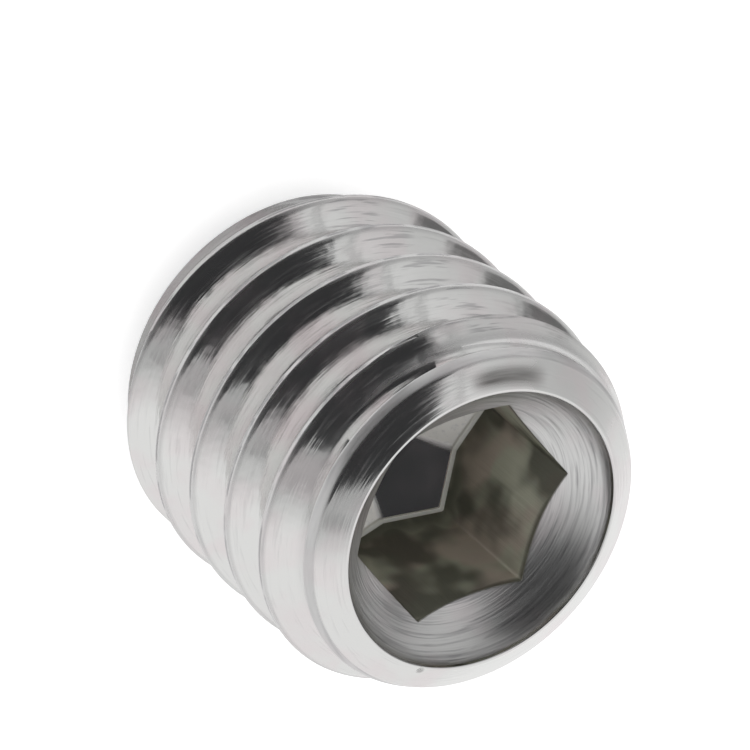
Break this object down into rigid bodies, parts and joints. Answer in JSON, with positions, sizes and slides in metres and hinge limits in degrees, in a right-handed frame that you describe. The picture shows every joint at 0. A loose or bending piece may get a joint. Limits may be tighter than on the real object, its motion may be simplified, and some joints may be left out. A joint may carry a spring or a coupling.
{
  "type": "grub set screw",
  "caption": "Headless socket set screw with a left-hand helical thread, chamfered flat point, dished countersink and hexagon socket.",
  "frame": {"origin": "centre of the flat point, which is the lowest point", "axes": "+Z along the screw's axis from the point to the socket end, +X through a corner of the hexagon socket"},
  "size_m": [0.006, 0.006, 0.006],
  "materials": {
    "steel": "plain stainless steel with fine turning and rolling lines"
  },
  "bodies": {
    "root": {"set_screw": "steel"}
  },
  "joints": []
}
